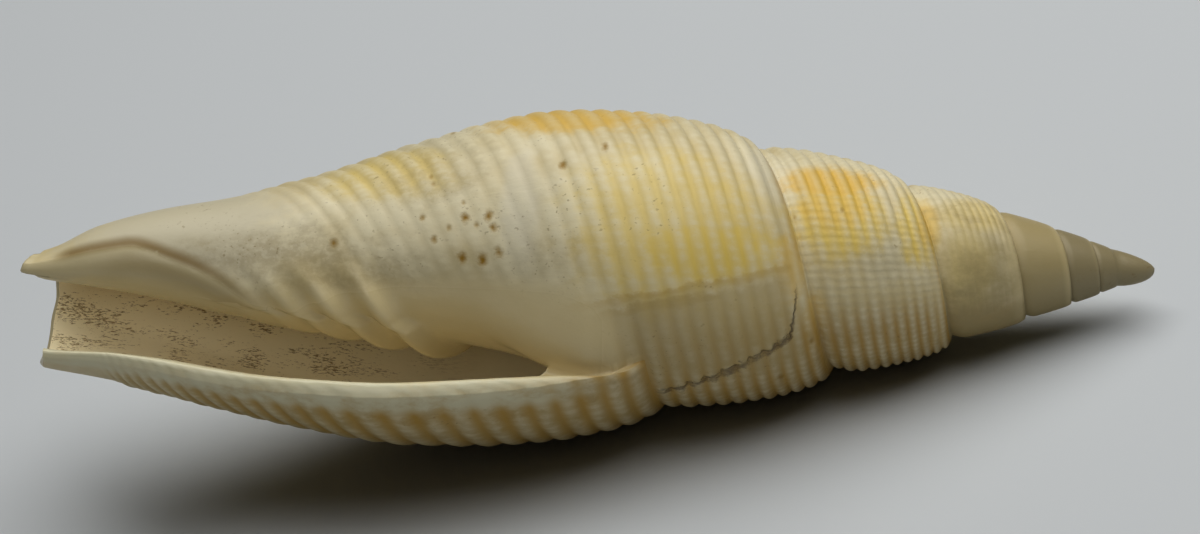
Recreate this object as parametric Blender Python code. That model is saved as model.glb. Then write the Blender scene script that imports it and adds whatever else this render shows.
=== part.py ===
"""A long, slender mitre seashell, grown as one piece, lying on its body whorl.

The wall is lofted along the helico-spiral that a snail grows. Every section lies in a half plane through the
coiling axis, and each whorl's lower edge is the upper edge of the next one, so the spire closes on itself.
"""

import math

import bmesh
import bpy
from mathutils import Matrix, Vector

NAME = "isabella_mitre"
NODE = "shell"
MM = 0.001
TURN = 2 * math.pi

# Growth. Distances are measured along the axis from the point where the spiral starts, in millimetres.
# A stage is counted in turns: 0 is the outer lip, and -1 is one whorl before it.
FIRST_STAGE = -6.5
WHORL_LENGTHENING = 1.615
WHORL_WIDENING = 1.43
SUTURE_UNDER_LIP = 23.9
RADIUS_UNDER_LIP = 7.58
LAST_TURN_SLOWING = 0.0745
APEX_DOME = 0.65
APEX_RING_SHARE = 0.62
APEX_RING_RISE = 0.7

# Outer wall below a suture, as (distance from the apex, radius), both over those of the suture.
WHORL_PROFILE = [
    (1.0, 1.0), (1.05, 1.09), (1.12, 1.165), (1.2, 1.225), (1.3, 1.265),
    (1.4, 1.28), (1.5, 1.275), (1.6, 1.245), (1.75, 1.15), (2.0, 0.88),
]
SPIRE_FULLNESS = 0.508
SPIRE_FADE = (-1.65, -0.8)
FRONT_BLEND = (1.45, 1.8)

# Front part of the last turn: the radius at these distances from the apex, at four stages round the turn.
FRONT_STATIONS = [40.0, 45.4, 52.5, 59.6, 65.2, 69.5, 74.1, 77.3, 78.9]
FRONT_RADII = [
    (-1.0, [8.8, 6.6, 5.2, 4.5, 3.5, 2.3, 1.35, 0.8, 0.45]),
    (-0.644, [10.5, 10.1, 8.35, 6.05, 4.86, 4.1, 2.84, 1.2, 0.6]),
    (-0.144, [12.0, 12.2, 11.9, 10.9, 9.6, 8.5, 7.5, 6.9, 6.5]),
    (0.0, [12.2, 12.45, 12.15, 11.15, 9.85, 8.7, 7.7, 7.1, 6.7]),
]
COLUMELLA_THINNING = 0.4
COLUMELLA_THINNING_RATE = 3
INNER_BASE_END = FRONT_STATIONS[4]
ANTERIOR_END = [(-1.0, 78.9), (-0.644, 78.3), (-0.4, 77.3), (-0.144, 76.6), (0.0, 76.7)]
END_SHARPNESS = 6
END_SHIFT_SHARPNESS = 8

# Spiral cords. They start low on the spire, stop under the callus and flatten at the lip's edge.
CORDS_PER_WHORL = 11
BASE_CORDS = 15
BASE_CORD_PITCH = 1.3
CORD_HEIGHT = 0.26
FIRST_CORDED_STAGE = -3.0
YOUNG_CORD_SHARE = 0.35
YOUNG_CORD_TURNS = 1.2
CALLUS_EDGE = (-0.95, -0.9)
FRONT_CORDS_FADING = 6
LIP_CORDS = (-0.06, 0.0)
LIP_CORD_SHARE = 0.3

# Columella folds, by their distance from the apex at the aperture.
FOLDS = [(49.9, 0.75), (53.3, 0.7), (56.4, 0.5), (58.8, 0.35), (61.0, 0.2)]
FOLD_HALF_WIDTH = 1.1
FOLD_FADE = (-0.98, -0.88)

# Smooth lines over the neck, past the last cord.
NECK_LINES = [56.1, 56.9, 57.7, 58.5, 59.3, 60.1, 60.9, 61.8, 63.5, 66.5, 70.0, 73.5, 76.3, 78.0, 78.9]

# Wall, aperture and hollow. The roof runs into the floor of the hollow over the two blend lengths.
LIP_ANGLE = math.radians(-38)
LIP_RECESS = [(36.0, 0.0), (45.0, 3.0), (57.0, 7.0), (65.0, 14.0), (72.0, 15.0), (76.7, 20.0)]
LIP_RECESS_TURNS = 0.2
WALL = 1.15
WALL_THICKENING = 1.25
APERTURE_LINE = 10
CANAL_STAGE = -14 / 24
HOLLOW_END = [(-1.75, 27.5), (-1.5, 32.5), (-1.25, 43.0), (-1.0, 57.0), (-0.8, 65.0), (CANAL_STAGE, 77.9)]
BACK_BLEND = 1.6
FRONT_END_BLEND = 2.5
CANAL_OPENING_TURNS = 0.12
RIM_STEPS = 3
RIM_BULGE = 0.35
MOST_RIM_BULGE = 0.45
TIP_POINT = (-79.15, 0.0, 0.2)

# The shell lies on two whorls. This is the way that then points down: an angle round the axis, and a tilt
# towards the apex.
DOWN_ANGLE = math.radians(-121)
DOWN_TILT = math.radians(11.4)
FLAT_DEPTH = 0.3

SECTIONS_PER_TURN = 24
SMOOTH_STEPS = 5
DEEP_STEPS = 11
DEEP_STAGE = -0.25
TIP = ANTERIOR_END[0][1]


def smooth_step(value, start, end):
    """0 up to start and 1 past end, with a smooth rise between them."""
    share = min(max((value - start) / (end - start), 0.0), 1.0)
    return share * share * (3 - 2 * share)


def curve_through(points, at):
    """A smooth curve through (x, y) points that never overshoots them, read at one x."""
    if at <= points[0][0]:
        return points[0][1]
    if at >= points[-1][0]:
        return points[-1][1]
    k = next(i for i in range(len(points) - 1) if at <= points[i + 1][0])
    slopes = [(b[1] - a[1]) / (b[0] - a[0]) for a, b in zip(points, points[1:])]

    def tangent(i):
        before, after = slopes[max(i - 1, 0)], slopes[min(i, len(slopes) - 1)]
        return 0.0 if before * after <= 0 else 2 * before * after / (before + after)

    (x0, y0), (x1, y1) = points[k], points[k + 1]
    span = x1 - x0
    u = (at - x0) / span
    rise = y0 * (1 + 2 * u) * (1 - u) ** 2 + y1 * u * u * (3 - 2 * u)
    return rise + span * u * (1 - u) * (tangent(k) * (1 - u) - tangent(k + 1) * u)


def suture_distance(stage):
    """Each whorl is longer than the one before by a fixed ratio, and a little less so in the last turn."""
    last = max(stage + 1, 0.0)
    slowed = math.log(WHORL_LENGTHENING) * (stage + 1) - LAST_TURN_SLOWING * last * last
    return SUTURE_UNDER_LIP * math.exp(slowed)


def whorl_profile(over, stage):
    early = 1 - smooth_step(stage, *SPIRE_FADE)
    return curve_through(WHORL_PROFILE, over) + SPIRE_FULLNESS * early * (over - 1) ** 2


def suture_radius(stage):
    """A suture lies on the wall of the whorl before it."""
    if stage <= -1:
        return RADIUS_UNDER_LIP * WHORL_WIDENING ** (stage + 1)
    before = stage - 1
    return suture_radius(before) * whorl_profile(suture_distance(stage) / suture_distance(before), before)


def front_radius(distance, stage):
    if stage >= -1:
        rows = [(at, curve_through(list(zip(FRONT_STATIONS, radii)), distance)) for at, radii in FRONT_RADII]
        return curve_through(rows, stage)
    inside = stage + 1
    radii = list(zip(FRONT_STATIONS, FRONT_RADII[0][1]))
    thinned = COLUMELLA_THINNING * (1 - math.exp(COLUMELLA_THINNING_RATE * inside))
    rod = curve_through(radii, distance) * (1 - thinned)
    grown = distance * WHORL_LENGTHENING ** -inside
    base = curve_through(radii, grown) * WHORL_WIDENING ** inside if grown < INNER_BASE_END else 0.0
    return max(rod, base)


def wall_radius(distance, stage):
    """The whorl's own profile near its suture, running into the table of the front part."""
    over = distance / suture_distance(stage)
    front = smooth_step(over, *FRONT_BLEND)
    radius = suture_radius(stage) * whorl_profile(over, stage) if front < 1 else 0.0
    return radius * (1 - front) + (front_radius(distance, stage) * front if front > 0 else 0.0)


def grown_line(start, turns):
    """A line that was at start one whorl before the lip grows with the shell and slows at the front end."""
    left = ((TIP / start) ** END_SHARPNESS - 1) * WHORL_LENGTHENING ** (-END_SHARPNESS * turns)
    reach = TIP * (1 + left) ** (-1 / END_SHARPNESS)
    end = curve_through(ANTERIOR_END, turns - 1)
    return reach * (1 + (end / TIP - 1) * (reach / TIP) ** END_SHIFT_SHARPNESS)


def base_lines():
    first = suture_distance(0)
    cords = [first + BASE_CORD_PITCH * k / 2 for k in range(1, 2 * BASE_CORDS + 1)]
    return cords + NECK_LINES


STRIP_LINES = 2 * CORDS_PER_WHORL
BASE_LINES = base_lines()
LAST_LINE = STRIP_LINES + len(BASE_LINES)
FIRST_INNER = STRIP_LINES + APERTURE_LINE


def line_start(line):
    """Where a line of the base, which may lie between two of the list, is one whorl before the lip."""
    place = line - STRIP_LINES - 1
    before = min(int(place), len(BASE_LINES) - 2)
    return BASE_LINES[before] + (BASE_LINES[before + 1] - BASE_LINES[before]) * (place - before)


def line_distance(line, stage):
    if line > STRIP_LINES:
        return grown_line(line_start(line), stage + 1)
    suture = suture_distance(stage)
    following = suture_distance(stage + 1) if stage <= -1 else grown_line(suture_distance(0), stage + 1)
    return suture * (following / suture) ** (line / STRIP_LINES)


def fold_height(line, stage):
    if line <= STRIP_LINES:
        return 0.0
    start = line_start(line)
    fade = 1 - smooth_step(stage, *FOLD_FADE)
    return fade * sum(high * math.exp(-(((start - at) / FOLD_HALF_WIDTH) ** 2)) for at, high in FOLDS)


def cord_height(line, stage):
    if line % 2 == 0 or stage < FIRST_CORDED_STAGE:
        return 0.0
    height = CORD_HEIGHT
    if line > STRIP_LINES:
        last = STRIP_LINES + 2 * BASE_CORDS + 1
        height *= smooth_step(stage, *CALLUS_EDGE) * (1 - smooth_step(line, last - FRONT_CORDS_FADING, last))
    young = 1 - smooth_step(stage, FIRST_CORDED_STAGE, FIRST_CORDED_STAGE + YOUNG_CORD_TURNS)
    at_lip = smooth_step(stage, *LIP_CORDS)
    return height * (1 - (1 - YOUNG_CORD_SHARE) * young) * (1 - (1 - LIP_CORD_SHARE) * at_lip)


def point(distance, radius, stage):
    """The coiling axis is X with the apex towards +X, and angle 0 faces -Y."""
    angle = LIP_ANGLE + TURN * stage
    return Vector((-distance, -radius * math.cos(angle), radius * math.sin(angle)))


def lip_recess(distance, stage):
    """The lip's edge runs back a little towards the canal."""
    return curve_through(LIP_RECESS, distance) / 360 * smooth_step(stage, -LIP_RECESS_TURNS, 0)


def outer_point(line, stage):
    distance = line_distance(line, stage)
    radius = wall_radius(distance, stage) + cord_height(line, stage) + fold_height(line, stage)
    return point(distance, radius, stage - lip_recess(distance, stage))


def hollow_end(stage):
    """Where the hollow ends at the front: open in the canal, closed behind it."""
    return curve_through(ANTERIOR_END if stage > CANAL_STAGE else HOLLOW_END, stage)


def core_point(line, stage):
    """The floor of the hollow, which is the columella and the wall of the whorl before, at its own stage."""
    first = grown_line(line_start(FIRST_INNER), stage + 1)
    distance = grown_line(line_start(line), stage + 1)
    if stage < -1:
        end = grown_line(TIP, stage + 1)
        distance = first + (distance - first) * (hollow_end(stage + 1) - first) / (end - first)
    return distance, wall_radius(distance, stage) + fold_height(line, stage)


def inner_point(line, stage):
    """The inner side of the outer wall, between the core's first and last lines."""
    first, first_radius = core_point(FIRST_INNER, stage - 1)
    last, last_radius = core_point(LAST_LINE, stage - 1)
    end = hollow_end(stage)
    suture = suture_distance(stage)
    share = (line_distance(line, stage) - suture) / (line_distance(LAST_LINE, stage) - suture)
    distance = first + (end - first) * share
    wall = WALL * WALL_THICKENING ** stage
    near_first = math.exp(-(distance - first) / BACK_BLEND)
    radius = wall_radius(distance, stage) - wall
    radius += (first_radius - (wall_radius(first, stage) - wall)) * near_first
    open_canal = smooth_step(stage, CANAL_STAGE, CANAL_STAGE + CANAL_OPENING_TURNS)
    near_last = math.exp(-(end - distance) / FRONT_END_BLEND) * (1 - open_canal)
    radius += (last_radius - (wall_radius(end, stage) - wall)) * near_last
    return point(distance, radius, stage - lip_recess(distance, stage))


def spread(first, last, steps):
    return [first + (last - first) * i / steps for i in range(steps + 1)]


def stitch(bm, first, second):
    """Faces between two rows of vertices, which may hold different numbers of them."""
    i = j = 0
    while i < len(first) - 1 or j < len(second) - 1:
        on_first = (i + 1) / max(len(first) - 1, 1) if i < len(first) - 1 else 2
        on_second = (j + 1) / max(len(second) - 1, 1) if j < len(second) - 1 else 2
        if abs(on_first - on_second) < 1e-9:
            corners = [first[i], first[i + 1], second[j + 1], second[j]]
            i, j = i + 1, j + 1
        elif on_first < on_second:
            corners = [first[i], first[i + 1], second[j]]
            i += 1
        else:
            corners = [first[i], second[j + 1], second[j]]
            j += 1
        corners = list(dict.fromkeys(corners))
        if len(corners) > 2:
            bm.faces.new(corners)


def build_shell():
    bm = bmesh.new()
    steps = SECTIONS_PER_TURN
    first_ring = round(FIRST_STAGE * steps)
    sutures = {k: bm.verts.new(outer_point(0, k / steps)) for k in range(first_ring, 1)}

    # The spire, one strip a whorl, from suture to suture.
    rings = {}
    for k in range(first_ring, 1 - steps):
        stage = k / steps
        count = STRIP_LINES if stage >= FIRST_CORDED_STAGE else SMOOTH_STEPS
        inner = [bm.verts.new(outer_point(STRIP_LINES * i / count, stage)) for i in range(1, count)]
        rings[k] = [sutures[k]] + inner + [sutures[k + steps]]
    # The last turn, from the suture to the front end.
    base = range(STRIP_LINES + 1, LAST_LINE + 1)
    rings[-steps] += [bm.verts.new(outer_point(line, -1.0)) for line in base]
    for k in range(1 - steps, 1):
        lines = range(1, LAST_LINE + 1)
        rings[k] = [sutures[k]] + [bm.verts.new(outer_point(line, k / steps)) for line in lines]
    for k in range(first_ring, 0):
        count = STRIP_LINES + 1
        this = rings[k][:count] if k < -steps else rings[k]
        following = rings[k + 1][:count] if k < -steps else rings[k + 1]
        stitch(bm, this, following)

    # The hollow: its core is the whorl before it, and its roof is the inner side of the outer wall.
    hollow_ring, canal_ring = round(HOLLOW_END[0][0] * steps), round(CANAL_STAGE * steps)
    core = {0: rings[-steps][FIRST_INNER:]}
    for k in range(-1, hollow_ring - 1, -1):
        stage = k / steps - 1
        deep = k / steps < DEEP_STAGE
        core[k] = []
        for line in spread(FIRST_INNER, LAST_LINE, DEEP_STEPS if deep else LAST_LINE - FIRST_INNER):
            distance, radius = core_point(line, stage)
            core[k].append(bm.verts.new(point(distance, radius, stage)))
        stitch(bm, core[k], core[k + 1])
    kept = list(range(2, LAST_LINE, 2)) + [LAST_LINE]
    roof = {}
    for k in range(0, hollow_ring - 1, -1):
        lines = spread(0, LAST_LINE, DEEP_STEPS)[1:] if k / steps < DEEP_STAGE else kept
        closed = k <= canal_ring
        row = [bm.verts.new(inner_point(line, k / steps)) for line in (lines[:-1] if closed else lines)]
        roof[k] = [core[k][0]] + row + ([core[k][-1]] if closed else [])
        if k < 0:
            stitch(bm, roof[k + 1], roof[k])
    bm.faces.new(roof[hollow_ring] + core[hollow_ring][-2:0:-1])

    # The rim of the lip, rounded forwards, and the end of the canal.
    lip, inside = rings[0], roof[0]
    lip_rows = [lip[1:]]
    for step in range(1, RIM_STEPS):
        row = []
        for line, inner in zip(kept, inside[1:]):
            row.append(bm.verts.new(rim_point(lip[line].co, inner.co, step, 0.0)))
        lip_rows.append(row)
    lip_rows.append(inside[1:])
    for row, following in zip(lip_rows, lip_rows[1:]):
        stitch(bm, row, following)
    stitch(bm, [row[0] for row in lip_rows], rings[-steps][STRIP_LINES:FIRST_INNER + 1])

    ends = [[row[-1] for row in lip_rows]]
    for k in range(-1, canal_ring - 1, -1):
        outer, inner = rings[k][-1], roof[k][-1]
        middle = [bm.verts.new(rim_point(outer.co, inner.co, step, 1.0)) for step in range(1, RIM_STEPS)]
        ends.append([outer] + middle + [inner])
        stitch(bm, ends[-2], ends[-1])
    tip_loop = [rings[k][-1] for k in range(-steps, canal_ring)] + ends[-1]
    tip_loop += [core[k][-1] for k in range(canal_ring + 1, 0)]
    fan(bm, tip_loop, Vector(TIP_POINT))

    # The apex, a small dome.
    start = [sutures[k] for k in range(first_ring, first_ring + steps)]
    start += rings[first_ring][:0:-1]
    centre = sum((vert.co for vert in start), Vector()) / len(start)
    dome = []
    for vert in start:
        place = centre.lerp(vert.co, APEX_RING_SHARE)
        place.x = centre.x + (APEX_DOME - centre.x) * APEX_RING_RISE
        dome.append(bm.verts.new(place))
    for i in range(len(start)):
        bm.faces.new([start[i - 1], start[i], dome[i], dome[i - 1]])
    fan(bm, dome, Vector((APEX_DOME, 0, 0)))
    return bm


def rim_point(outer, inner, step, forward):
    """The wall's edge bulges past its two sides: along the growth at the lip, along the axis at the end."""
    share = step / RIM_STEPS
    middle = outer.lerp(inner, share)
    bulge = min(RIM_BULGE * (outer - inner).length * math.sin(math.pi * share), MOST_RIM_BULGE)
    around = Vector((0, -middle.z, middle.y)).normalized()
    return middle + bulge * ((1 - forward) * -around + forward * Vector((-1, 0, 0)))


def lay_down(bm):
    """Turns the shell to the way it rests, apex towards +X, and takes a thin slice off where it touches."""
    across = math.cos(DOWN_TILT)
    down = Vector((math.sin(DOWN_TILT), -across * math.cos(DOWN_ANGLE), across * math.sin(DOWN_ANGLE)))
    up = -down
    along = (Vector((1, 0, 0)) - up.x * up).normalized()
    turn = Matrix((along, up.cross(along), up))
    bmesh.ops.rotate(bm, verts=bm.verts, matrix=turn)
    floor = min(vert.co.z for vert in bm.verts) + FLAT_DEPTH
    geometry = bm.verts[:] + bm.edges[:] + bm.faces[:]
    bmesh.ops.bisect_plane(bm, geom=geometry, plane_co=(0, 0, floor), plane_no=(0, 0, 1), clear_inner=True)
    bmesh.ops.edgeloop_fill(bm, edges=[edge for edge in bm.edges if edge.is_boundary])
    spans = [sorted(vert.co[i] for vert in bm.verts) for i in (0, 1)]
    middle = [(span[0] + span[-1]) / 2 for span in spans]
    bmesh.ops.translate(bm, verts=bm.verts, vec=(-middle[0], -middle[1], -floor))


def fan(bm, loop, centre):
    hub = bm.verts.new(centre)
    for i in range(len(loop)):
        bm.faces.new([loop[i - 1], loop[i], hub])


def shell_material():
    material = bpy.data.materials.new("aragonite_shell")
    material.use_nodes = True
    shader = material.node_tree.nodes["Principled BSDF"]
    shader.inputs["Base Color"].default_value = (0.61, 0.51, 0.3, 1.0)
    shader.inputs["Roughness"].default_value = 0.45
    shader.inputs["Metallic"].default_value = 0.0
    return material


def main():
    for obj in list(bpy.data.objects):
        bpy.data.objects.remove(obj, do_unlink=True)
    collection = bpy.data.collections.new(NAME)
    bpy.context.scene.collection.children.link(collection)
    bm = build_shell()
    lay_down(bm)
    bmesh.ops.triangulate(bm, faces=bm.faces)
    bmesh.ops.recalc_face_normals(bm, faces=bm.faces)
    bmesh.ops.transform(bm, matrix=Matrix.Scale(MM, 4), verts=bm.verts)
    mesh = bpy.data.meshes.new(NODE)
    bm.to_mesh(mesh)
    bm.free()
    shell = bpy.data.objects.new(NODE, mesh)
    shell.data.materials.append(shell_material())
    collection.objects.link(shell)
    mesh.shade_smooth()
    mesh.set_sharp_from_angle(angle=math.radians(40))


main()
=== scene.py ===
# %% [markdown]
# # A long mitre shell, grown turn by turn
# A snail builds its shell at one edge, the lip, and turns as it builds. Each turn is wider and longer than
# the one before by nearly the same ratio, so the whole form follows from a few growth numbers. The packed
# model is loaded first, as the frame that gives the place and the size. The finished shell then stands in
# for its plain solid.

# %% The frame
import bisect
import functools
import math

import bmesh
import bpy
from mathutils import Matrix, Vector, noise


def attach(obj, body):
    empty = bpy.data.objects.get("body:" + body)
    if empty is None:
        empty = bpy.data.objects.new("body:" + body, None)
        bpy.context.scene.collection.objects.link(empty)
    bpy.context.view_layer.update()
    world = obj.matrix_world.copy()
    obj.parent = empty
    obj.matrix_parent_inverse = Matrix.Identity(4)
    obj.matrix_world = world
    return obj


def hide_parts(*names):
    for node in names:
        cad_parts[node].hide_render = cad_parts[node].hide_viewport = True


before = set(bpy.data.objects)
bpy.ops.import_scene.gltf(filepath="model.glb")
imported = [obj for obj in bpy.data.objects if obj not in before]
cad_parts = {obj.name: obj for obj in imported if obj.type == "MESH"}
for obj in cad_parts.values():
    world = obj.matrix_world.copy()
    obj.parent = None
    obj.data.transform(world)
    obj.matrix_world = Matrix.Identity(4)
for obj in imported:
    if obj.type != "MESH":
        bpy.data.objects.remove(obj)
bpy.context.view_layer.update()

MM = 0.001

# %% [markdown]
# ## Growth
# A place on the shell is a stage and a line. The stage is counted in turns, 0 at the lip and -1 one whorl
# before it. A line follows the growth, from the suture at line 0 to the next suture and on to the front end.
# A turned profile with a Screw modifier would give a plain cone spiral, but the front end of this shell
# doesn't grow in proportion, so each line's distance along the axis is worked out by itself. All sizes here
# are in millimetres.

# %% Growth along the axis
FIRST_STAGE = -6.5
WHORL_LENGTHENING = 1.615
WHORL_WIDENING = 1.43
SUTURE_UNDER_LIP = 23.9
RADIUS_UNDER_LIP = 7.58
LAST_TURN_SLOWING = 0.0745

# The front end's distance from the apex at a few stages.
ANTERIOR_END = [
    (-1.0, 78.9), (-0.644, 78.3), (-0.4, 77.45), (-0.33, 77.4), (-0.27, 77.7), (-0.144, 77.7), (0.0, 77.1),
]
END_SHARPNESS = 6
END_SHIFT_SHARPNESS = 8
TIP = ANTERIOR_END[0][1]


def smooth_step(value, start, end):
    """0 up to start and 1 past end, with a smooth rise between them."""
    share = min(max((value - start) / (end - start), 0.0), 1.0)
    return share * share * (3 - 2 * share)


def smooth_curve(points):
    """A function that reads a smooth curve through (x, y) points, which never overshoots them."""
    slopes = [(b[1] - a[1]) / (b[0] - a[0]) for a, b in zip(points, points[1:])]
    pairs = list(zip(slopes[:1] + slopes, slopes + slopes[-1:]))
    tangents = [0.0 if a * b <= 0 else 2 * a * b / (a + b) for a, b in pairs]
    starts = [x for x, _ in points]

    def read(at):
        if at <= starts[0]:
            return points[0][1]
        if at >= starts[-1]:
            return points[-1][1]
        k = bisect.bisect_right(starts, at) - 1
        (x0, y0), (x1, y1) = points[k], points[k + 1]
        span = x1 - x0
        u = (at - x0) / span
        rise = y0 * (1 + 2 * u) * (1 - u) ** 2 + y1 * u * u * (3 - 2 * u)
        return rise + span * u * (1 - u) * (tangents[k] * (1 - u) - tangents[k + 1] * u)

    return read


anterior_end = smooth_curve(ANTERIOR_END)


@functools.lru_cache(maxsize=None)
def suture_distance(stage):
    """Each whorl is longer than the one before by a fixed ratio, and a little less so in the last turn."""
    last = max(stage + 1, 0.0)
    slowed = math.log(WHORL_LENGTHENING) * (stage + 1) - LAST_TURN_SLOWING * last * last
    return SUTURE_UNDER_LIP * math.exp(slowed)


def grown_line(start, turns):
    """A line that was at start one whorl before the lip grows with the shell and slows at the front end."""
    left = ((TIP / start) ** END_SHARPNESS - 1) * WHORL_LENGTHENING ** (-END_SHARPNESS * turns)
    reach = TIP * (1 + left) ** (-1 / END_SHARPNESS)
    end = anterior_end(turns - 1)
    return reach * (1 + (end / TIP - 1) * (reach / TIP) ** END_SHIFT_SHARPNESS)


print("sutures at", [round(suture_distance(stage), 1) for stage in range(-6, 1)], "mm from the apex")

# %% [markdown]
# ## The wall
# Near its suture each whorl has a rounded shoulder, which is the same shape on every whorl. In front of
# that the last whorl narrows to a long neck, so a table gives its radius at a few distances and stages. A
# smooth step joins the two, because a sharp change would show as a crease round the shell.

# %% The wall's radius
# The radius at a few distances, both as shares of the suture's own.
WHORL_PROFILE = [
    (1.0, 1.0), (1.05, 1.09), (1.12, 1.165), (1.2, 1.225), (1.3, 1.265),
    (1.4, 1.28), (1.5, 1.275), (1.6, 1.245), (1.75, 1.15), (2.0, 0.88),
]
SPIRE_FULLNESS = 0.508
SPIRE_FADE = (-1.65, -0.8)
CONE_FADE = (-3.7, -2.2)
CONE_SHARE = 0.75
FRONT_BLEND = (1.45, 1.8)

# The wall's radius at a few stations along the axis, for four stages of the last turn.
FRONT_STATIONS = [40.0, 45.4, 52.5, 59.6, 65.2, 69.5, 74.1, 77.3, 78.9]
FRONT_RADII = [
    (-1.0, [8.8, 6.6, 5.2, 4.5, 3.5, 2.3, 1.35, 0.8, 0.45]),
    (-0.644, [10.5, 10.1, 8.35, 6.05, 4.86, 4.1, 2.84, 1.2, 0.6]),
    (-0.144, [12.0, 12.2, 11.9, 10.9, 9.6, 8.5, 7.5, 6.9, 6.5]),
    (0.0, [12.2, 12.45, 12.15, 11.15, 9.85, 8.7, 7.7, 7.1, 6.7]),
]

COLUMELLA_THINNING = 0.4
COLUMELLA_THINNING_RATE = 3
COLUMELLA_START = (14, 20)
INNER_BASE_END = FRONT_STATIONS[4]

last_profile = smooth_curve(WHORL_PROFILE)
front_curves = [(at, smooth_curve(list(zip(FRONT_STATIONS, radii)))) for at, radii in FRONT_RADII]
pillar = front_curves[0][1]


def whorl_profile(over, stage):
    early = 1 - smooth_step(stage, *SPIRE_FADE)
    rounded = last_profile(over) + SPIRE_FULLNESS * early * (over - 1) ** 2
    cone = over ** (math.log(WHORL_WIDENING) / math.log(WHORL_LENGTHENING))
    return rounded + (cone - rounded) * CONE_SHARE * (1 - smooth_step(stage, *CONE_FADE))


@functools.lru_cache(maxsize=None)
def suture_radius(stage):
    """A suture lies on the wall of the whorl before it."""
    if stage <= -1:
        return RADIUS_UNDER_LIP * WHORL_WIDENING ** (stage + 1)
    before = stage - 1
    return suture_radius(before) * whorl_profile(suture_distance(stage) / suture_distance(before), before)


def front_radius(distance, stage):
    if stage >= -1:
        return smooth_curve([(at, radius(distance)) for at, radius in front_curves])(stage)
    inside = stage + 1
    thinned = COLUMELLA_THINNING * (1 - math.exp(COLUMELLA_THINNING_RATE * inside))
    rod = pillar(distance) * (1 - thinned) * smooth_step(distance, *COLUMELLA_START)
    grown = distance * WHORL_LENGTHENING ** -inside
    base = pillar(grown) * WHORL_WIDENING ** inside if grown < INNER_BASE_END else 0.0
    return max(rod, base)


def wall_radius(distance, stage):
    """The whorl's own profile near its suture, running into the table of the front part."""
    over = distance / suture_distance(stage)
    front = smooth_step(over, *FRONT_BLEND)
    radius = suture_radius(stage) * whorl_profile(over, stage) if front < 1 else 0.0
    return radius * (1 - front) + (front_radius(distance, stage) * front if front > 0 else 0.0)


widest = max(wall_radius(distance, 0.0) for distance in FRONT_STATIONS)
print("the last whorl is", round(2 * widest, 1), "mm across at the lip")

# %% [markdown]
# ## Lines of growth
# Two lines make one spiral cord, the valley and the crest. A whorl of the spire shows eleven cords, and
# fifteen more run over the base. The neck in front of them is smooth, so its lines are only where the shape
# needs them.

# %% Lines
CORDS_PER_WHORL = 11
BASE_CORDS = 15
BASE_CORD_PITCH = 1.3
NECK_LINES = [56.1, 56.9, 57.7, 58.5, 59.3, 60.1, 60.9, 61.8, 63.5, 66.5, 70.0, 73.5, 76.3, 78.0, 78.9]
STRIP_LINES = 2 * CORDS_PER_WHORL
FIRST_BASE = suture_distance(0)
BASE_LINES = [FIRST_BASE + BASE_CORD_PITCH * k / 2 for k in range(1, 2 * BASE_CORDS + 1)] + NECK_LINES
LAST_LINE = STRIP_LINES + len(BASE_LINES)
APERTURE_LINE = 10
FIRST_INNER = STRIP_LINES + APERTURE_LINE


def line_start(line):
    """Where a line of the base, which may lie between two of the list, is one whorl before the lip."""
    place = line - STRIP_LINES - 1
    before = min(int(place), len(BASE_LINES) - 2)
    return BASE_LINES[before] + (BASE_LINES[before + 1] - BASE_LINES[before]) * (place - before)


def line_distance(line, stage):
    if line > STRIP_LINES:
        return grown_line(line_start(line), stage + 1)
    suture = suture_distance(stage)
    following = suture_distance(stage + 1) if stage <= -1 else grown_line(FIRST_BASE, stage + 1)
    return suture * (following / suture) ** (line / STRIP_LINES)


print(LAST_LINE, "lines on the last whorl")

# %% [markdown]
# ## Cords, folds and callus
# The cords are low round ridges with narrow valleys between them. They start low on the young whorls and
# flatten under the callus, the smooth glaze that the animal lays over the inner side of the aperture. The
# columella, the pillar in the middle, carries five slanting folds. Texture alone would leave the outline
# smooth, and the real outline is scalloped, so all of these are real relief.

# %% Cords
CORD_HEIGHT = 0.3
CORD_ROUNDNESS = 0.95
CORD_UNEVENNESS = 0.22
UNEVEN_BETWEEN_CORDS = 7.3
UNEVEN_ALONG_TURN = 9
UNEVEN_LEVEL = 0.5
FIRST_CORDED_STAGE = -3.0
YOUNG_CORD_SHARE = 0.3
WORN_SHARE = 0.62
WORN_MIDDLE = 0.106
WORN_TURNS = 0.19
YOUNG_CORD_TURNS = 1.2
FRONT_CORDS_FADING = 6
FRONT_CORDS_LOWERING = 0.65
LOWERED_LINES = (22, 28)
LOWERED_STAGES = (-0.8, -0.68)
LIP_CORDS = (-0.035, -0.008)
LIP_CORD_SHARE = 0.3

# The stage of the glaze's edge at a few distances from the apex.
CALLUS_EDGE = [
    (35.5, -0.961), (38.9, -0.929), (42.6, -0.914), (52.4, -0.919), (57.0, -0.94), (60.5, -0.985),
    (61.9, -0.983), (66.0, -0.898), (68.3, -0.854), (71.8, -0.79), (75.6, -0.79),
]
CALLUS_FEATHER = 0.02
CALLUS_START = (35.8, 40.0)
CALLUS_THICKNESS = 0.1
callus_edge = smooth_curve(CALLUS_EDGE)


def callus_cover(distance, stage):
    """1 under the glaze of the inner lip and 0 outside it."""
    edge = callus_edge(distance)
    covered = 1 - smooth_step(stage, edge - CALLUS_FEATHER, edge + CALLUS_FEATHER)
    return covered * smooth_step(distance, *CALLUS_START)


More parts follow.
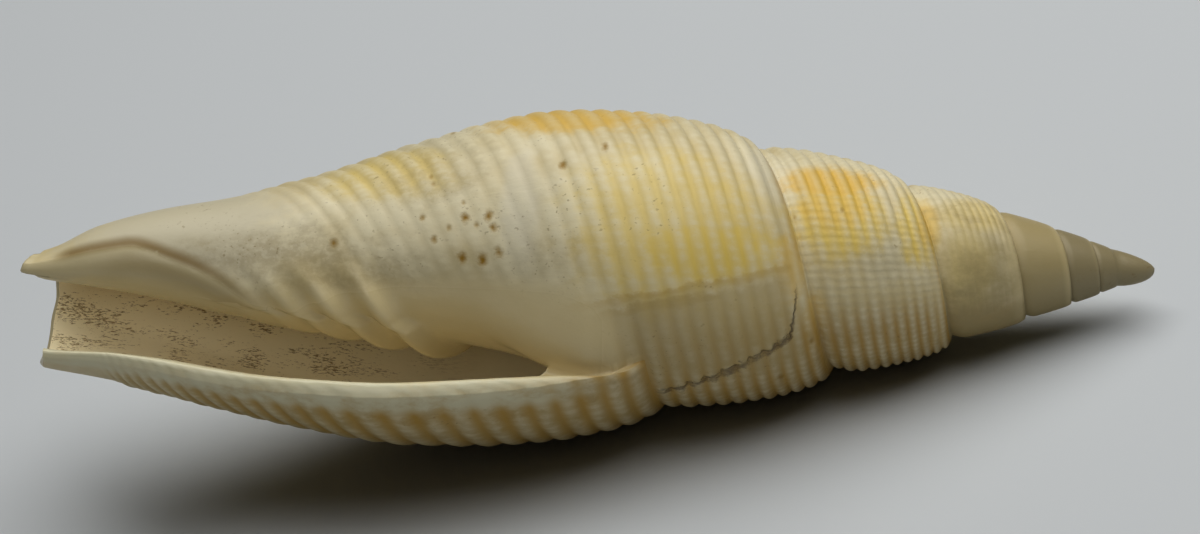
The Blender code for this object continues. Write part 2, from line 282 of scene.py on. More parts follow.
def cord_height(line, stage):
    if stage < FIRST_CORDED_STAGE:
        return 0.0
    height = CORD_HEIGHT * abs(math.sin(math.pi * line / 2)) ** CORD_ROUNDNESS
    if line > STRIP_LINES:
        last = STRIP_LINES + 2 * BASE_CORDS + 1
        height *= 1 - callus_cover(line_distance(line, stage), stage)
        height *= 1 - smooth_step(line, last - FRONT_CORDS_FADING, last)
        worn = smooth_step(line, *LOWERED_LINES) * (1 - smooth_step(stage, *LOWERED_STAGES))
        height *= 1 - FRONT_CORDS_LOWERING * worn
    height *= 1 - WORN_SHARE * math.exp(-(((stage - round(stage) - WORN_MIDDLE) / WORN_TURNS) ** 2))
    young = 1 - smooth_step(stage, FIRST_CORDED_STAGE, FIRST_CORDED_STAGE + YOUNG_CORD_TURNS)
    at_lip = smooth_step(stage, *LIP_CORDS)
    place = (math.floor(line / 2) * UNEVEN_BETWEEN_CORDS, stage * UNEVEN_ALONG_TURN, UNEVEN_LEVEL)
    uneven = 1 + CORD_UNEVENNESS * noise.noise(Vector(place))
    return height * uneven * (1 - (1 - YOUNG_CORD_SHARE) * young) * (1 - (1 - LIP_CORD_SHARE) * at_lip)


print("a cord on the last whorl is", round(cord_height(9, -0.5), 2), "mm high")

# %% Folds and callus
# Each fold's distance from the apex and its height.
FOLDS = [(53.3, 1.35), (56.7, 1.05), (59.8, 0.7), (62.4, 0.45), (64.7, 0.3)]
FOLD_HALF_WIDTH = 1.0
FOLD_FADE = (-0.99, -0.87)
SUTURE_STEP = 0.22
SUTURE_STEP_LINES = 1.2
SUTURE_STEP_FADE = 8
HIGH_STEP = (-0.12, -0.02)
PAD_HEIGHT = 1.2
PAD_TURNS = 0.045
PAD_LINES = (22, 26, 31, 40)


def fold_height(line, stage):
    if line <= STRIP_LINES:
        return 0.0
    start = line_start(line)
    fade = 1 - smooth_step(stage, *FOLD_FADE)
    return fade * sum(high * math.exp(-(((start - at) / FOLD_HALF_WIDTH) ** 2)) for at, high in FOLDS)


def suture_step(line, stage):
    """A later whorl stands out over the one before it in a small rounded step, highest at the lip."""
    grown = suture_radius(stage) / RADIUS_UNDER_LIP * (1 + smooth_step(stage, *HIGH_STEP))
    past = 1 - math.exp(-line / SUTURE_STEP_LINES)
    return SUTURE_STEP * grown * past * math.exp(-line / SUTURE_STEP_FADE)


def callus_height(line, stage):
    """The glaze itself, and the pad of it that fills the corner where the lip starts."""
    if line <= STRIP_LINES:
        return 0.0
    along_pad = smooth_step(line, *PAD_LINES[:2]) * (1 - smooth_step(line, *PAD_LINES[2:]))
    pad = PAD_HEIGHT * along_pad * math.exp(-(((stage + 1) / PAD_TURNS) ** 2))
    return pad + CALLUS_THICKNESS * callus_cover(line_distance(line, stage), stage)


print(len(FOLDS), "folds, the highest", max(high for _, high in FOLDS), "mm")

# %% [markdown]
# ## Points on the surface
# The axis is X with the apex towards +X, and angle 0 faces -Y. The glaze at the back of the aperture sags a
# little over the lip, so points near there are turned back. The outer point of a line and stage adds the
# relief to the wall. The inner point lies one wall's thickness under it and runs into the pillar at both of
# its ends. A Solidify modifier would give a wall all round, but a snail's wall is shared by two whorls.

# %% Outer surface
TURN = 2 * math.pi
LIP_ANGLE = math.radians(-38)

# How many degrees the lip's edge lies back at a few distances.
LIP_RECESS = [(36.0, 0.0), (45.0, 3.0), (57.0, 7.0), (65.0, 14.0), (72.0, 15.0), (76.7, 20.0)]
LIP_RECESS_TURNS = 0.2
recess_degrees = smooth_curve(LIP_RECESS)
SAG = math.radians(9)
SAG_DISTANCE = 43.5
SAG_LENGTH = 5.0
SAG_TURNS = 0.045
SAG_RADII = (10.4, 11.6)


def point(distance, radius, stage):
    turns = stage - round(stage)
    sag = math.exp(-(((distance - SAG_DISTANCE) / SAG_LENGTH) ** 2) - (turns / SAG_TURNS) ** 2)
    sag *= 1 - smooth_step(radius, *SAG_RADII)
    angle = LIP_ANGLE + TURN * stage - SAG * sag
    return Vector((-distance, -radius * math.cos(angle), radius * math.sin(angle)))


def lip_recess(distance, stage):
    """The lip's edge runs back a little towards the canal."""
    return math.radians(recess_degrees(distance)) / TURN * smooth_step(stage, -LIP_RECESS_TURNS, 0)


def outer_point(line, stage):
    if line == STRIP_LINES and stage <= -1:
        line, stage = 0, stage + 1
    distance = line_distance(line, stage)
    relief = cord_height(line, stage) + fold_height(line, stage)
    relief += suture_step(line, stage) + callus_height(line, stage)
    return point(distance, wall_radius(distance, stage) + relief, stage - lip_recess(distance, stage))


print("the lip starts at", [round(value, 1) for value in outer_point(0, 0.0)], "mm")

# %% Inner surface
WALL = 1.3
WALL_THICKENING = 1.25
CANAL_STAGE = -14 / 24
CANAL_THINNING = 0.45
CANAL_THIN = (65, 76)

# The distance where the hollow ends at a few stages.
HOLLOW_END = [(-1.75, 27.5), (-1.5, 32.5), (-1.25, 43.0), (-1.0, 57.0), (-0.8, 65.0), (CANAL_STAGE, 77.9)]
BACK_BLEND = 1.6
FRONT_END_BLEND = 2.5
CANAL_OPENING_TURNS = 0.12
closed_end = smooth_curve(HOLLOW_END)


def hollow_end(stage):
    """Where the hollow ends at the front: open in the canal, closed behind it."""
    return anterior_end(stage) if stage > CANAL_STAGE else closed_end(stage)


def wall_under(distance, stage):
    """The wall's thickness, which is less on the young whorls and along the canal."""
    return WALL * WALL_THICKENING ** stage * (1 - CANAL_THINNING * smooth_step(distance, *CANAL_THIN))


@functools.lru_cache(maxsize=None)
def core_place(line, stage):
    """The floor of the hollow, which is the columella and the wall of the whorl before, at its own stage."""
    first = grown_line(line_start(FIRST_INNER), stage + 1)
    distance = grown_line(line_start(line), stage + 1)
    if stage < -1:
        end = grown_line(TIP, stage + 1)
        distance = first + (distance - first) * (hollow_end(stage + 1) - first) / (end - first)
    relief = fold_height(line, stage) + callus_height(line, stage) + cord_height(line, stage)
    return distance, wall_radius(distance, stage) + relief


def core_point(line, stage):
    """The same place as a point, with the stage given as that of the whorl around it."""
    distance, radius = core_place(line, stage - 1)
    return outer_point(line, -1.0) if stage == 0 else point(distance, radius, stage - 1)


def inner_point(line, stage):
    """The inner side of the outer wall, between the core's first and last lines."""
    if line == 0 or (line == LAST_LINE and stage <= CANAL_STAGE):
        return core_point(FIRST_INNER if line == 0 else LAST_LINE, stage)
    first, first_radius = core_place(FIRST_INNER, stage - 1)
    last, last_radius = core_place(LAST_LINE, stage - 1)
    end = hollow_end(stage)
    suture = suture_distance(stage)
    share = (line_distance(line, stage) - suture) / (line_distance(LAST_LINE, stage) - suture)
    distance = first + (end - first) * share
    near_first = math.exp(-(distance - first) / BACK_BLEND)
    radius = wall_radius(distance, stage) - wall_under(distance, stage)
    radius += (first_radius - (wall_radius(first, stage) - wall_under(first, stage))) * near_first
    open_canal = smooth_step(stage, CANAL_STAGE, CANAL_STAGE + CANAL_OPENING_TURNS)
    near_last = math.exp(-(end - distance) / FRONT_END_BLEND) * (1 - open_canal)
    radius += (last_radius - (wall_radius(end, stage) - wall_under(end, stage))) * near_last
    return point(distance, radius, stage - lip_recess(distance, stage))


print("the wall at the lip is", round(wall_under(SAG_DISTANCE, 0.0), 2), "mm thick")

# %% [markdown]
# ## Sheets
# The snail adds shell along its lip, a thin row at a time, and Extrude does the same. A row of edges is
# extruded, and its new points are put at the next stage. The extrusion copies each point's line number, so
# every point knows its place. Spin can't do this, because each section is longer and wider than the last.
# The stage and line of each corner go into a UV map, so that the colours can follow the growth.

# %% A sheet that grows
SECTIONS_PER_TURN = 96
SAMPLES_PER_LINE = 3
MARKS = ("glaze", "lining", "depth", "border")
FAR = 9.0
ROWS_AT_ONCE = 48
shell = bmesh.new()


def spread(first, last, steps):
    return [first + (last - first) * i / steps for i in range(steps + 1)]


def grow_part(place, marks, lines, stages, map_shift):
    """Extrudes a row of points, one for each line, through the stages, and adds the result to the shell."""
    part = bmesh.new()
    line_layer = part.verts.layers.float.new("line")
    mark_layers = [part.verts.layers.float.new(name) for name in MARKS]
    growth_map = part.loops.layers.uv.new("growth")
    row = [part.verts.new() for line in lines]
    for vert, line in zip(row, lines):
        vert[line_layer] = line
    edges = [part.edges.new(pair) for pair in zip(row, row[1:])]
    before, faces = None, []
    for stage in stages:
        if before is not None:
            grown = bmesh.ops.extrude_edge_only(part, edges=edges)["geom"]
            row = [item for item in grown if isinstance(item, bmesh.types.BMVert)]
            edges = [item for item in grown if isinstance(item, bmesh.types.BMEdge)]
            faces = [item for item in grown if isinstance(item, bmesh.types.BMFace)]
        fresh = set(row)
        for face in faces:
            for corner in face.loops:
                at = stage if corner.vert in fresh else before
                corner[growth_map].uv = (at + map_shift, corner.vert[line_layer] / LAST_LINE)
        for vert in row:
            vert.co = place(vert[line_layer], stage)
            for layer, value in zip(mark_layers, marks(vert[line_layer], stage)):
                vert[layer] = value
        before = stage
    grown_mesh = bpy.data.meshes.new("part")
    part.to_mesh(grown_mesh)
    part.free()
    shell.from_mesh(grown_mesh)
    bpy.data.meshes.remove(grown_mesh)


def grow_sheet(place, marks, lines, stages, map_shift=0.0):
    """Grows a sheet in parts of a few rows, because a long extrusion slows down as its mesh fills.

    place gives where a point is. marks gives how glazed it is, whether it lines the hollow, how deep it
    lies and how far it is from the edge of the glaze."""
    for first in range(0, len(stages) - 1, ROWS_AT_ONCE):
        grow_part(place, marks, lines, stages[first:first + ROWS_AT_ONCE + 1], map_shift)

# %% The outside
first_section = round(FIRST_STAGE * SECTIONS_PER_TURN)
spire_stages = [k / SECTIONS_PER_TURN for k in range(first_section, 1 - SECTIONS_PER_TURN)]
last_stages = [k / SECTIONS_PER_TURN for k in range(-SECTIONS_PER_TURN, 1)]
strip = spread(0, STRIP_LINES, SAMPLES_PER_LINE * STRIP_LINES)
whole = spread(0, LAST_LINE, SAMPLES_PER_LINE * LAST_LINE)


def outer_marks(line, stage):
    """The border is how far a point lies behind the edge of the glaze, in millimetres."""
    if line <= STRIP_LINES:
        return 0.0, 0.0, 0.0, FAR
    distance = line_distance(line, stage)
    border = (stage - callus_edge(distance)) * TURN * wall_radius(distance, stage)
    return callus_cover(distance, stage), 0.0, 0.0, max(-FAR, min(FAR, border))


grow_sheet(outer_point, outer_marks, strip, spire_stages)
grow_sheet(outer_point, outer_marks, whole, last_stages)
print("outside:", len(shell.faces), "faces")

# %% The hollow
DEEP_SECTIONS_PER_TURN = 24
canal_section = round(CANAL_STAGE * SECTIONS_PER_TURN)
open_rows = [k / SECTIONS_PER_TURN for k in range(0, canal_section - 1, -1)]
first_deep = round(CANAL_STAGE * DEEP_SECTIONS_PER_TURN) - 1
last_deep = round(HOLLOW_END[0][0] * DEEP_SECTIONS_PER_TURN)
hollow_rows = open_rows + [k / DEEP_SECTIONS_PER_TURN for k in range(first_deep, last_deep - 1, -1)]
inner = spread(FIRST_INNER, LAST_LINE, SAMPLES_PER_LINE * (LAST_LINE - FIRST_INNER))

grow_sheet(core_point, lambda line, stage: (1.0, 0.0, -stage, -FAR), inner, hollow_rows, -1.0)
grow_sheet(inner_point, lambda line, stage: (1.0, 1.0, -stage, -FAR), whole, hollow_rows)
print("with the hollow:", len(shell.faces), "faces")

# %% [markdown]
# ## The lip
# The wall ends in a rounded rim. It is a sheet too, grown from the outer edge across to the inner one, and
# it swells forwards on the way. At the back it lies on the whorl before, where the real lip is glued on by
# callus. Along the canal the rim swells towards the front end instead. Bevelling a flat rim would do the
# same for a round edge, but not for one that has to land on another whorl.

# %% Rim of the lip and the canal
RIM_STEPS = SAMPLES_PER_LINE * APERTURE_LINE
RIM_BULGE = 0.4
MOST_RIM_BULGE = 0.55
RIM_LANDING = 5.0
RIM_GLAZING = 4
CANAL_CORNER_TURNS = 0.06
rim_shares = spread(0, 1, RIM_STEPS)


def rim_marks(line, share):
    return min(RIM_GLAZING * share, 1.0), 0.0, 0.0, FAR


def rim_middle(outer, inside, share):
    """The straight way across the wall, and how far the rim swells out from it."""
    swell = min(RIM_BULGE * (outer - inside).length, MOST_RIM_BULGE) * math.sin(math.pi * share)
    return outer.lerp(inside, share), swell


def forward(place):
    return Vector((0, place.z, -place.y)).normalized()


def lip_rim(line, share):
    middle, swell = rim_middle(outer_point(line, 0.0), inner_point(line, 0.0), share)
    landed = 1 - smooth_step(line, 0.0, RIM_LANDING)
    chord = outer_point(0, 0.0).lerp(inner_point(0, 0.0), share)
    on_wall = outer_point(STRIP_LINES + APERTURE_LINE * share, -1.0) - chord
    return middle + (forward(middle) * swell).lerp(on_wall, landed)


def canal_rim(share, stage):
    middle, swell = rim_middle(outer_point(LAST_LINE, stage), inner_point(LAST_LINE, stage), share)
    opened = smooth_step(stage, CANAL_STAGE, CANAL_STAGE + CANAL_OPENING_TURNS)
    at_lip = smooth_step(stage, -CANAL_CORNER_TURNS, 0.0)
    return middle + (Vector((-1, 0, 0)) * opened).lerp(forward(middle), at_lip) * swell


grow_sheet(lip_rim, rim_marks, whole, rim_shares)
grow_sheet(canal_rim, lambda share, stage: rim_marks(0, share), rim_shares, open_rows)
print("with the rims:", len(shell.faces), "faces")

# %% [markdown]
# ## One skin
# The sheets share their borders point for point, so merging doubles joins them into one skin. Three holes
# are left: the tiny first whorl, the front end of the pillar, and the deep end of the hollow. The first
# whorl is closed with a small dome, which is the snail's own first shell, and the pillar with a rounded
# cap. The deep end can't be seen, so one flat face is enough for it.

# %% Welding and closing
WELD = 0.002
APEX = Vector((0.65, 0, 0))
TIP_POINT = Vector((-79.0, 0, 0.3))

bmesh.ops.remove_doubles(shell, verts=shell.verts, dist=WELD)


def average(values):
    values = list(values)
    return sum(values[1:], values[0]) / len(values)


def open_rings():
    """The closed loops of edges that have only one face, each in the mesh's own order."""
    shell.edges.index_update()
    left = {edge for edge in shell.edges if len(edge.link_faces) == 1}
    rings = []
    while left:
        ring, reached = [], [left.pop()]
        while reached:
            edge = reached.pop()
            ring.append(edge)
            touching = {other for vert in edge.verts for other in vert.link_edges} & left
            left -= touching
            reached.extend(touching)
        rings.append(sorted(ring, key=lambda edge: edge.index))
    return sorted(rings, key=lambda ring: average(vert.co.x for edge in ring for vert in edge.verts))


rings = open_rings()
print(len(rings), "open rings with", [len(ring) for ring in rings], "edges")

# %% Caps
# The rows of each cap, as shares of the way to its top, and how straight its sides rise.
FIRST_WHORL_ROWS = [0.05, 0.12, 0.2, 0.3, 0.42, 0.56, 0.7, 0.82, 0.93]
FIRST_WHORL_STRAIGHTNESS = 0.72
PILLAR_ROWS = [0.1, 0.3, 0.6]
PILLAR_STRAIGHTNESS = 0.5


def cap(ring, top, shares, straightness):
    """Grows a ring of edges into a rounded cap. Each row lies nearer the top, at a share of the way in."""
    foot = average(vert.co.copy() for edge in ring for vert in edge.verts)
    before = 0.0
    for share in shares:
        grown = bmesh.ops.extrude_edge_only(shell, edges=ring)["geom"]
        row = [item for item in grown if isinstance(item, bmesh.types.BMVert)]
        ring = [item for item in grown if isinstance(item, bmesh.types.BMEdge)]
        risen = (1 - (1 - share) ** 2) ** straightness - (1 - (1 - before) ** 2) ** straightness
        for vert in row:
            level = foot + (top - foot) * (1 - (1 - before) ** 2) ** straightness
            vert.co = vert.co.lerp(level, (share - before) / (1 - before)) + (top - foot) * risen
        before = share
    hub = bmesh.ops.contextual_create(shell, geom=ring)["faces"]
    bmesh.ops.poke(shell, faces=hub)


pillar_end, deep_end, first_whorl = rings
cap(first_whorl, APEX, FIRST_WHORL_ROWS, FIRST_WHORL_STRAIGHTNESS)
cap(pillar_end, TIP_POINT, PILLAR_ROWS, PILLAR_STRAIGHTNESS)
bmesh.ops.contextual_create(shell, geom=deep_end)
print("open edges left:", sum(len(edge.link_faces) != 2 for edge in shell.edges))

# %% [markdown]
# ## Lying down
# The shell lies on its last whorl with the apex a little raised. That turn and the flat it rests on are the
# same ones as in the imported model, so both stay in one place. The mesh itself is turned and moved, not its
# object, so that the patterns keep their place on it.

# %% Laying it down
DOWN_ANGLE = math.radians(-121)
DOWN_TILT = math.radians(11.4)
FLAT_DEPTH = 0.3
ML_IN_CUBIC_METRE = 1e6

across = math.cos(DOWN_TILT)
up = -Vector((math.sin(DOWN_TILT), -across * math.cos(DOWN_ANGLE), across * math.sin(DOWN_ANGLE)))
along = (Vector((1, 0, 0)) - up.x * up).normalized()
turn = Matrix((along, up.cross(along), up))
bmesh.ops.rotate(shell, verts=shell.verts, matrix=turn)
floor_level = min(vert.co.z for vert in shell.verts) + FLAT_DEPTH
everything = shell.verts[:] + shell.edges[:] + shell.faces[:]
bmesh.ops.bisect_plane(
    shell, geom=everything, plane_co=(0, 0, floor_level), plane_no=(0, 0, 1), clear_inner=True
)
bmesh.ops.contextual_create(shell, geom=[edge for edge in shell.edges if edge.is_boundary])
bmesh.ops.recalc_face_normals(shell, faces=shell.faces)
spans = [sorted(vert.co[i] for vert in shell.verts) for i in (0, 1)]
move = Vector([-(span[0] + span[-1]) / 2 for span in spans] + [-floor_level])
bmesh.ops.translate(shell, verts=shell.verts, vec=move)
bmesh.ops.transform(shell, matrix=Matrix.Scale(MM, 4), verts=shell.verts)
volume = shell.calc_volume(signed=True) * ML_IN_CUBIC_METRE
print("moved by", [round(value, 3) for value in move], "mm, volume", round(volume, 2), "ml")
print("open edges left:", sum(len(edge.link_faces) != 2 for edge in shell.edges))

# %% The finished piece
QUAD = 4

bmesh.ops.triangulate(shell, faces=[face for face in shell.faces if len(face.verts) > QUAD])
mesh = bpy.data.meshes.new("mitre_shell")
shell.to_mesh(mesh)
mesh.shade_smooth()
piece = bpy.data.objects.new("mitre_shell", mesh)
bpy.context.scene.collection.objects.link(piece)
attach(piece, "root")
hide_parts("shell")
print(sum(len(face.vertices) - 2 for face in mesh.polygons), "triangles")

# %% [markdown]
# ## Aragonite
# A shell wall is layers of aragonite, a dense white mineral, and the outer layer is stained yellow and orange
# in patches. The patches show most between the cords, because the crests are worn white. A painted picture
# would fit one side only. Here the growth map and the coordinates along the axis carry every pattern, so the
# same rules colour the sides that nobody sees.

# %% A node helper and the coordinates
HEX_STEPS = 255


def srgb(code):
    """A six-digit colour code turned linear."""
    parts = [int(code[i:i + 2], 16) / HEX_STEPS for i in (0, 2, 4)]
    linear = [part / 12.92 if part <= 0.04045 else ((part + 0.055) / 1.055) ** 2.4 for part in parts]
    return (*linear, 1.0)


# Aragonite as a snail's shell: satin chalky outside with worn cords, and a glossy lining and inner lip.
aragonite = bpy.data.materials.new("aragonite_shell")
aragonite.use_nodes = True
tree = aragonite.node_tree
shader = tree.nodes["Principled BSDF"]
mesh.materials.append(aragonite)

# What these kinds of node are set to where a call says nothing else.
USUAL_SETTINGS = {
    "MapRange": {"interpolation_type": "SMOOTHSTEP"},
    "Math": {"operation": "MULTIPLY"},
    "Mix": {"data_type": "RGBA"},
}
MIX_SHARE, MIX_UNDER, MIX_OVER, MIX_RESULT = 0, 6, 7, 2


def add(kind, inputs, output=0, **settings):
    """Adds a node, sets it up, fills its inputs with values or links, and gives one output.

    Inputs in a list go into the node's first sockets in their order."""
    made = tree.nodes.new("ShaderNode" + kind)
    for name, value in (USUAL_SETTINGS.get(kind, {}) | settings).items():
        setattr(made, name, value)
    sockets = inputs if isinstance(inputs, dict) else dict(enumerate(inputs))
    for key, value in sockets.items():
        if isinstance(value, bpy.types.NodeSocket):
            tree.links.new(value, made.inputs[key])
        else:
            made.inputs[key].default_value = value
    return made.outputs[output]


growth = add("UVMap", [], uv_map="growth")
stage_at, across_at = [add("SeparateXYZ", [growth], output=axis) for axis in ("X", "Y")]
line_at = add("Math", [across_at, LAST_LINE])
glaze, lining, depth, border = [add("Attribute", [], output="Fac", attribute_name=name) for name in MARKS]
back = turn.transposed()
axial = add("Mapping", {
    "Vector": add("TexCoord", [], output="Object"),
    "Location": -(back @ move),
    "Rotation": back.to_euler(),
    "Scale": (1 / MM,) * 3,
})
axis_x, axis_z = [add("SeparateXYZ", [axial], output=axis) for axis in ("X", "Z")]
print("marks on the mesh:", ", ".join(MARKS))

# %% Noises
# Each noise has its coordinates, how many of its grains fit in a millimetre along each axis, its detail and
# its roughness. On the growth map the first two counts are to a turn and to all the lines together.
NOISES = [
    (growth, (26, 20, 1), 3.0, 0.55),
    (growth, (260, 14, 1), 2.0, 0.55),
    (axial, (0.11, 0.16, 0.16), 4.0, 0.6),
    (axial, (0.5, 0.7, 0.7), 4.0, 0.65),
    (axial, (1.7, 2.1, 2.1), 3.0, 0.6),
    (axial, (3.1, 4.2, 4.2), 2.0, 0.5),
    (axial, (1.6, 8.5, 8.5), 3.0, 0.75),
    (axial, (0.25, 0.5, 0.5), 3.0, 0.6),
]
fewest = min(grains[0] for _, grains, *_ in NOISES)
wobble, streaks, cloud, mottle, grain, dots, hairs, drifts = [
    add("TexNoise", {
        "Vector": add("Mapping", {"Vector": on, "Scale": grains}),
        "Scale": 1.0,
        "Detail": detail,
        "Roughness": roughness,
    })
    for on, grains, detail, roughness in NOISES
]
print(len(NOISES), "noises, the broadest with a grain of", round(1 / fewest, 1), "mm")

# %% Limits and coats
def limited(share, limits):
    """A share that fades beyond some limits.

    Each limit is a measure with where it starts and where it is full, and maybe its values at both."""
    for measure, *ends in limits:
        share = add("Math", [share, add("MapRange", [measure, *ends])])
    return share


def laid(colour, coats):
    """Lays coats over a first colour. Each coat has its colour, its share and the limits of that share."""
    for tint, share, limits in coats:
        over = {MIX_SHARE: limited(share, limits), MIX_UNDER: colour, MIX_OVER: tint}
        colour = add("Mix", over, output=MIX_RESULT)
    return colour

# %% Cords and threads on the map
CORDED = [(line_at, 54, 44), (stage_at, -3.0, -2.3)]
THREADED = [(stage_at, -0.85, -1.1), (stage_at, -3.0, -2.3), (line_at, 30, 23)]
THREADS_PER_TURN = 82
THREAD_WOBBLE = 4.0

# A cosine over two lines is turned into 0 in the valleys and 1 on the crests, and one over a thread alike.
wave = add("Math", [add("Math", [line_at, math.pi])], operation="COSINE")
crest = add("Math", [wave, -0.5, 0.5], operation="MULTIPLY_ADD")
outside = add("Math", [1.0, glaze], operation="SUBTRACT")
corded = limited(outside, CORDED)
valley = add("Math", [add("Math", [1.0, crest], operation="SUBTRACT"), corded])
turned = add("Math", [stage_at, THREADS_PER_TURN * TURN])
wobbling = add("Math", [wobble, THREAD_WOBBLE, turned], operation="MULTIPLY_ADD")
thread = add("Math", [add("Math", [wobbling], operation="COSINE"), 0.5, 0.5], operation="MULTIPLY_ADD")
threaded = limited(thread, THREADED)
print("threads", round(TURN * RADIUS_UNDER_LIP / THREADS_PER_TURN, 2), "mm apart on the last whorl but one")

# %% [markdown]
# ## Patches of colour
# The stain came in with food and growth, so it lies in soft patches with ragged edges. Noise alone would put
# them anywhere. Ellipsoids put them where this shell has them, and noise only breaks up their edges.

# %% Patches of colour
# Each patch is an ellipsoid in the axis coordinates: its middle, its half lengths and its strength.
LEMON = [
    ((-34.5, -9.5, 3.2), (7.0, 6, 6.5), 0.68), ((-32.0, -9.5, 1.2), (5.5, 4, 2.6), 0.9),
    ((-53.5, -3.5, 6.6), (5.5, 5, 2.2), 0.6), ((-16.9, -5.6, 3.0), (1.8, 4, 3.2), 0.9),
    ((-22.6, -6.8, 3.4), (3.8, 4, 2.9), 0.9), ((-37.0, 6.0, 5.0), (7, 8, 6), 0.6),
    ((-20, 6, 0), (4, 5, 5), 0.5), ((-30.0, -8.5, -3.5), (4.0, 4, 2.5), 0.3),
    ((-13.5, -4.5, 0.0), (2.0, 4, 4.0), 0.4), ((-13.2, -2.5, 3.5), (3.0, 4, 1.5), 0.5),
]
GOLD = [
    ((-41.0, -2.6, 10.6), (7.0, 5, 1.6), 0.8), ((-23.0, -5.0, 5.9), (3.8, 4, 1.3), 0.9),
    ((-22.8, -6.8, 4.2), (3.0, 3, 1.6), 0.6), ((-26.0, -8.3, 0.0), (1.0, 3, 2.8), 0.5),
    ((-24.2, -6.6, -3.6), (0.9, 3, 2.4), 0.5), ((-16.2, -5.0, 3.2), (0.9, 3, 2.2), 0.6),
]
OCHRE = [
    ((-52, -7.6, -8.6), (4, 3.4, 2.6), 1.0), ((-45.5, -7.6, -8.6), (2.6, 3.4, 2.6), 0.9),
    ((-63, -7.0, -8), (8, 3.0, 2.0), 0.8), ((-40, -7.6, -8.6), (1.5, 3.4, 2.2), 0.8),
]
GREY = [
    ((-19.6, -7.0, 1.4), (2.6, 4, 2.4), 0.5), ((-47, -5.5, -0.5), (9, 4, 2.4), 0.4),
    ((-68, -2.5, 3.0), (9, 6, 4.5), 0.45), ((-52, -3, 7), (7, 6, 3), 0.5),
    ((-12.6, -4, 0.5), (2.6, 4, 3.5), 0.6),
]
WHITE = [
    ((-68, -2.5, 3.0), (9, 6, 4.5), 0.9), ((-44.2, -8.0, 4.5), (1.4, 5, 5.0), 0.6),
    ((-27, -6, 7), (2, 4, 3), 0.5),
]
PATCH_EDGE = (1.25, 0.5)
PATCH_RAGGEDNESS = 0.9


def patches(table, edge_noise, raggedness, outer, inner):
    """The strongest of several soft ellipsoids, with edges that noise breaks up."""
    strongest = 0.0
    for middle, half, strength in table:
        local = add("Mapping", {"Vector": axial, "Location": middle, "Scale": half}, vector_type="TEXTURE")
        far = add("VectorMath", [local], output="Value", operation="LENGTH")
        ragged = add("Math", [edge_noise, raggedness, far], operation="MULTIPLY_ADD")
        ends = [end + raggedness / 2 for end in (outer, inner)]
        share = add("MapRange", [ragged, *ends, 0.0, strength])
        strongest = add("Math", [strongest, share], operation="MAXIMUM")
    return strongest


lemon, gold, ochre, grey, white = [
    patches(table, mottle, PATCH_RAGGEDNESS, *PATCH_EDGE) for table in (LEMON, GOLD, OCHRE, GREY, WHITE)
]
print(sum(len(table) for table in (LEMON, GOLD, OCHRE, GREY, WHITE)), "patches of colour")

# %% [markdown]
# ## Colour of the outside
# The colours are laid one over another like thin coats, so each keeps its own small rule. The ivory ground
# comes first, then the stain, the painted shade of the underside in tan and brown, the white crests, and
# the tan and grey of the oldest whorls.

# %% Outside colours
IVORY, CREAM, LEMON_YELLOW, GOLDEN, BROWN_OCHRE = [
    srgb(code) for code in ("DBD1B0", "CCBD92", "DCC263", "DBB448", "B8923A")
]
CHALK, WARM_GREY, APEX_TAN, APEX_GREY, WORN_WHITE, UNDERSIDE_SHADE_TAN = [
    srgb(code) for code in ("E2D9BA", "B5AB8B", "A6966A", "8F8465", "D8D1BA", "9E8347")
]

# %% The ground, the stain and the painted shade of the underside
# The shell's half width grows evenly from the apex, so a height divided by it tells how far down a point is.
HALF_WIDTH_RISE = -0.12
FIRST_HALF_WIDTH = 1.5
# Where the painted shade of the underside starts and where it is full, as shares of the height.
SHADED_UNDERSIDE = (-0.35, -1.2)
STAIN_ON_CRESTS = 0.75
OCHRE_STRENGTH = 0.75
SHADE_BROWN_IN_VALLEYS = 0.6

half_width = add("Math", [axis_x, HALF_WIDTH_RISE, FIRST_HALF_WIDTH], operation="MULTIPLY_ADD")
height_share = add("Math", [axis_z, half_width], operation="DIVIDE")
in_valleys = add("Math", [valley, 1 - STAIN_ON_CRESTS, STAIN_ON_CRESTS], operation="MULTIPLY_ADD")
in_valley_ochre = add("Math", [ochre, in_valleys])
colour = laid(CREAM, [
    (IVORY, 1.0, [(cloud, 0.38, 0.62)]),
    (WORN_WHITE, white, []),
    (WARM_GREY, grey, []),
    (LEMON_YELLOW, add("Math", [lemon, in_valleys]), []),
    (GOLDEN, add("Math", [gold, in_valleys]), []),
    (BROWN_OCHRE, add("Math", [in_valley_ochre, OCHRE_STRENGTH]), []),
    # Painted shade: tan, and brown in the cord valleys, darken the lower side of the shell.
    (UNDERSIDE_SHADE_TAN, 0.7, [(height_share, *SHADED_UNDERSIDE)]),
    (BROWN_OCHRE, add("Math", [valley, SHADE_BROWN_IN_VALLEYS]), [(height_share, *SHADED_UNDERSIDE)]),
])
print(len(tree.nodes), "nodes so far")

# %% Worn crests, old whorls and sutures
AGEING = 1.2

beads = add("Math", [crest, corded])
aged = add("Math", [mottle, AGEING, stage_at], operation="MULTIPLY_ADD")
colour = laid(colour, [
    (CHALK, beads, [
        (thread, 0.2, 0.9, 0.7, 1.0), (gold, 0.2, 0.9, 1.0, 0.4), (mottle, 0.35, 0.6, 0.1, 0.5),
    ]),
    (APEX_TAN, 0.8, [(aged, -2.0, -2.6)]),
    (APEX_GREY, 0.8, [(stage_at, -3.6, -4.7)]),
    (CREAM, 0.4, [
        (line_at, 5.0, 1.2), (line_at, 0.2, 1.0), (stage_at, -1.5, -2.1), (stage_at, -5.2, -4.4),
    ]),
    (BROWN_OCHRE, 0.35, [(line_at, 1.3, 0.1), (stage_at, -3.2, -2.2), (mottle, 0.3, 0.55)]),
])
print(len(tree.nodes), "nodes so far")
